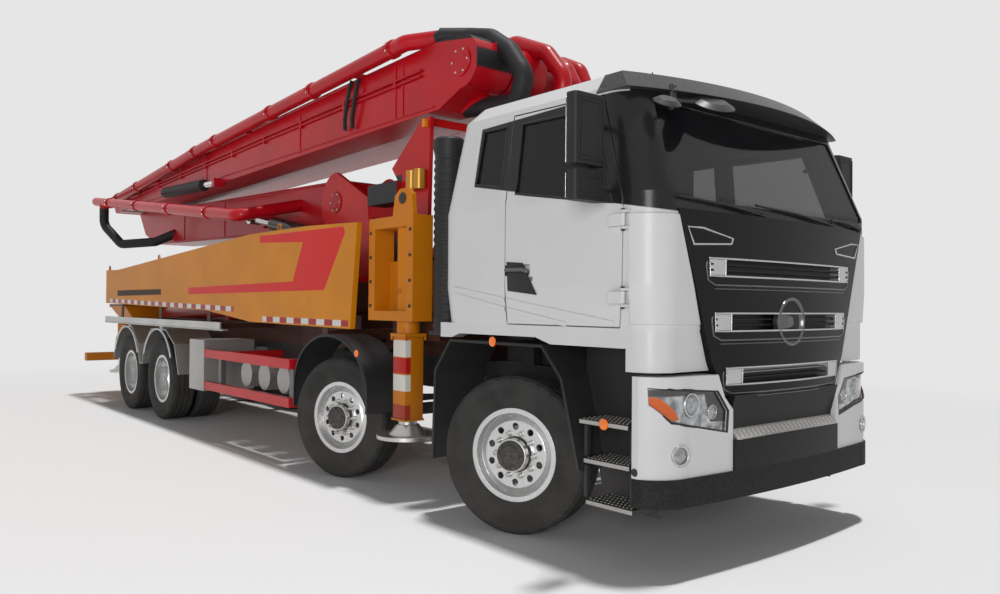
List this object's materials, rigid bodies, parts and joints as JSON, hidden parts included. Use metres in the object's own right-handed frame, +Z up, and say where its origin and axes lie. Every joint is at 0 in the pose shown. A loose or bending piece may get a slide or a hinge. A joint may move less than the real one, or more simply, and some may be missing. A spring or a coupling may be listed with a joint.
{
  "type": "concrete pump truck",
  "caption": "Cab-over truck with steered front axles, twin-tyred rear axles, outriggers, hopper and a folding concrete boom.",
  "frame": {"origin": "on the ground under the middle of the whole truck's bounding box", "axes": "+X is forward, +Y is the truck's left side, +Z is up"},
  "size_m": [12.3998, 3.12, 3.9078],
  "materials": {
    "frame_paint": "satin",
    "cab_paint": "gloss",
    "boom_paint": "gloss",
    "body_paint": "gloss",
    "guard_paint": "gloss",
    "black_plastic": "matt",
    "trim_aluminium": "brushed",
    "cast": "rough",
    "wheel_alloy": "polished",
    "tyre_rubber": "matt",
    "window_glass": "clear",
    "lamp_glass": "clear",
    "jack_steel": "satin"
  },
  "bodies": {
    "chassis": {"aluminium_trim": "trim_aluminium", "axles": "cast", "boom_cradle": "boom_paint", "bumper": "cab_paint", "cab_glass": "window_glass", "cab_interior": "black_plastic", "cab_shell": "cab_paint", "chassis_frame": "frame_paint", "engine_block": "cast", "front_mask": "black_plastic", "front_steps": "black_plastic", "headlamps": "lamp_glass", "hopper": "frame_paint", "pump_subframe": "body_paint", "side_guards": "guard_paint", "side_panels": "body_paint", "sun_visor": "black_plastic"},
    "knuckle_1_right": {"knuckle_1_right": "cast"},
    "knuckle_1_left": {"knuckle_1_left": "cast"},
    "knuckle_2_right": {"knuckle_2_right": "cast"},
    "knuckle_2_left": {"knuckle_2_left": "cast"},
    "wheel_1_right": {"tyre_1_right": "tyre_rubber", "rim_1_right": "wheel_alloy"},
    "wheel_1_left": {"tyre_1_left": "tyre_rubber", "rim_1_left": "wheel_alloy"},
    "wheel_2_right": {"tyre_2_right": "tyre_rubber", "rim_2_right": "wheel_alloy"},
    "wheel_2_left": {"tyre_2_left": "tyre_rubber", "rim_2_left": "wheel_alloy"},
    "wheel_3_right": {"tyre_3_right": "tyre_rubber", "rim_3_right": "wheel_alloy"},
    "wheel_3_left": {"tyre_3_left": "tyre_rubber", "rim_3_left": "wheel_alloy"},
    "wheel_4_right": {"tyre_4_right": "tyre_rubber", "rim_4_right": "wheel_alloy"},
    "wheel_4_left": {"tyre_4_left": "tyre_rubber", "rim_4_left": "wheel_alloy"},
    "door_right": {"door_right": "cab_paint", "door_glass_right": "window_glass", "mirror_right": "black_plastic"},
    "door_left": {"door_left": "cab_paint", "door_glass_left": "window_glass", "mirror_left": "black_plastic"},
    "outrigger_front_right": {"outrigger_front_right": "body_paint"},
    "jack_front_right": {"jack_front_right": "jack_steel"},
    "outrigger_front_left": {"outrigger_front_left": "body_paint"},
    "jack_front_left": {"jack_front_left": "jack_steel"},
    "outrigger_rear_right": {"outrigger_rear_right": "body_paint"},
    "jack_rear_right": {"jack_rear_right": "jack_steel"},
    "outrigger_rear_left": {"outrigger_rear_left": "body_paint"},
    "jack_rear_left": {"jack_rear_left": "jack_steel"},
    "turret": {"turret": "boom_paint"},
    "boom_1": {"boom_1": "boom_paint"},
    "boom_2": {"boom_2": "boom_paint"},
    "boom_3": {"boom_3": "boom_paint"},
    "boom_4": {"boom_4": "boom_paint"},
    "boom_5": {"boom_5": "boom_paint"},
    "lift_cylinder": {"lift_cylinder": "boom_paint"},
    "lift_rods": {"lift_rods": "jack_steel"},
    "hopper_grate": {"hopper_grate": "frame_paint"}
  },
  "joints": [
    {"name": "steer_1_right", "type": "hinge", "parent": "chassis", "child": "knuckle_1_right", "pos_m": [4.7, -0.83, 0.53], "axis": [0, 0, 1], "range_deg": [-59.6, 16.4]},
    {"name": "steer_1_left", "type": "hinge", "parent": "chassis", "child": "knuckle_1_left", "pos_m": [4.7, 0.83, 0.53], "axis": [0, 0, 1], "range_deg": [-59.6, 16.4]},
    {"name": "steer_2_right", "type": "hinge", "parent": "chassis", "child": "knuckle_2_right", "pos_m": [2.4, -0.83, 0.53], "axis": [0, 0, 1], "range_deg": [-47.2, 13]},
    {"name": "steer_2_left", "type": "hinge", "parent": "chassis", "child": "knuckle_2_left", "pos_m": [2.4, 0.83, 0.53], "axis": [0, 0, 1], "range_deg": [-47.2, 13]},
    {"name": "spin_1_right", "type": "hinge", "parent": "knuckle_1_right", "child": "wheel_1_right", "pos_m": [4.78099, -1.03455, 0.53], "axis": [-0.3681, 0.9298, 0], "continuous": true},
    {"name": "spin_1_left", "type": "hinge", "parent": "knuckle_1_left", "child": "wheel_1_left", "pos_m": [4.61901, 1.03455, 0.53], "axis": [-0.3681, 0.9298, 0], "continuous": true},
    {"name": "spin_2_right", "type": "hinge", "parent": "knuckle_2_right", "child": "wheel_2_right", "pos_m": [2.46469, -1.04027, 0.53], "axis": [-0.294, 0.9558, 0], "continuous": true},
    {"name": "spin_2_left", "type": "hinge", "parent": "knuckle_2_left", "child": "wheel_2_left", "pos_m": [2.33531, 1.04027, 0.53], "axis": [-0.294, 0.9558, 0], "continuous": true},
    {"name": "spin_3_right", "type": "hinge", "parent": "chassis", "child": "wheel_3_right", "pos_m": [-2.2, -1.05, 0.53], "axis": [0, 1, 0], "continuous": true},
    {"name": "spin_3_left", "type": "hinge", "parent": "chassis", "child": "wheel_3_left", "pos_m": [-2.2, 1.05, 0.53], "axis": [0, 1, 0], "continuous": true},
    {"name": "spin_4_right", "type": "hinge", "parent": "chassis", "child": "wheel_4_right", "pos_m": [-3.55, -1.05, 0.53], "axis": [0, 1, 0], "continuous": true},
    {"name": "spin_4_left", "type": "hinge", "parent": "chassis", "child": "wheel_4_left", "pos_m": [-3.55, 1.05, 0.53], "axis": [0, 1, 0], "continuous": true},
    {"name": "door_right_swing", "type": "hinge", "parent": "chassis", "child": "door_right", "pos_m": [5.89, -1.268, 1.8], "axis": [0, 0, 1], "range_deg": [0, 70]},
    {"name": "door_left_swing", "type": "hinge", "parent": "chassis", "child": "door_left", "pos_m": [5.89, 1.268, 1.8], "axis": [0, 0, -1], "range_deg": [0, 70]},
    {"name": "extend_front_right", "type": "slide", "parent": "chassis", "child": "outrigger_front_right", "axis": [0, -1, 0], "range_m": [0, 1.5]},
    {"name": "lower_front_right", "type": "slide", "parent": "outrigger_front_right", "child": "jack_front_right", "axis": [0, 0, -1], "range_m": [0, 0.6]},
    {"name": "extend_front_left", "type": "slide", "parent": "chassis", "child": "outrigger_front_left", "axis": [0, 1, 0], "range_m": [0, 1.5]},
    {"name": "lower_front_left", "type": "slide", "parent": "outrigger_front_left", "child": "jack_front_left", "axis": [0, 0, -1], "range_m": [0, 0.6]},
    {"name": "extend_rear_right", "type": "slide", "parent": "chassis", "child": "outrigger_rear_right", "axis": [0, -1, 0], "range_m": [0, 1.2]},
    {"name": "lower_rear_right", "type": "slide", "parent": "outrigger_rear_right", "child": "jack_rear_right", "axis": [0, 0, -1], "range_m": [0, 0.6]},
    {"name": "extend_rear_left", "type": "slide", "parent": "chassis", "child": "outrigger_rear_left", "axis": [0, 1, 0], "range_m": [0, 1.2]},
    {"name": "lower_rear_left", "type": "slide", "parent": "outrigger_rear_left", "child": "jack_rear_left", "axis": [0, 0, -1], "range_m": [0, 0.6]},
    {"name": "slew", "type": "hinge", "parent": "chassis", "child": "turret", "pos_m": [1.3, 0, 1.76], "axis": [0, 0, 1], "range_deg": [-180, 180]},
    {"name": "lift", "type": "hinge", "parent": "turret", "child": "boom_1", "pos_m": [0.95, 0, 2.64], "axis": [0, 1, 0], "range_deg": [0, 85]},
    {"name": "fold_2", "type": "hinge", "parent": "boom_1", "child": "boom_2", "pos_m": [-6, -0.53, 3.22], "axis": [0, -1, 0], "range_deg": [0, 180]},
    {"name": "fold_3", "type": "hinge", "parent": "boom_2", "child": "boom_3", "pos_m": [3.65, -0.13, 3.52], "axis": [0, 1, 0], "range_deg": [0, 180]},
    {"name": "fold_4", "type": "hinge", "parent": "boom_3", "child": "boom_4", "pos_m": [-5.35, 0.235, 3.3], "axis": [0, -1, 0], "range_deg": [0, 180]},
    {"name": "fold_5", "type": "hinge", "parent": "boom_4", "child": "boom_5", "pos_m": [3.45, 0.555, 3.52], "axis": [0, 1, 0], "range_deg": [0, 180]},
    {"name": "cylinder_swing", "type": "hinge", "parent": "turret", "child": "lift_cylinder", "pos_m": [0.64, 0, 2.3], "axis": [0, 1, 0], "range_deg": [0, 84]},
    {"name": "rod_slide", "type": "slide", "parent": "lift_cylinder", "child": "lift_rods", "axis": [-0.9827, 0, 0.1854], "range_m": [0, 0.634]},
    {"name": "grate_lift", "type": "hinge", "parent": "chassis", "child": "hopper_grate", "pos_m": [-5.028, 0, 1.4915], "axis": [0, 1, 0], "range_deg": [0, 95]}
  ],
  "couplings": [
    {"joint": "steer_1_left", "follows": "steer_1_right", "ratio": 1},
    {"joint": "steer_2_right", "follows": "steer_1_right", "ratio": 0.79},
    {"joint": "steer_2_left", "follows": "steer_1_right", "ratio": 0.79},
    {"joint": "fold_2", "follows": "lift", "ratio": 2.1},
    {"joint": "slew", "follows": "lift", "ratio": 2},
    {"joint": "cylinder_swing", "follows": "lift", "ratio": 0.9647},
    {"joint": "rod_slide", "follows": "lift", "m_per_rad": 0.4137}
  ]
}
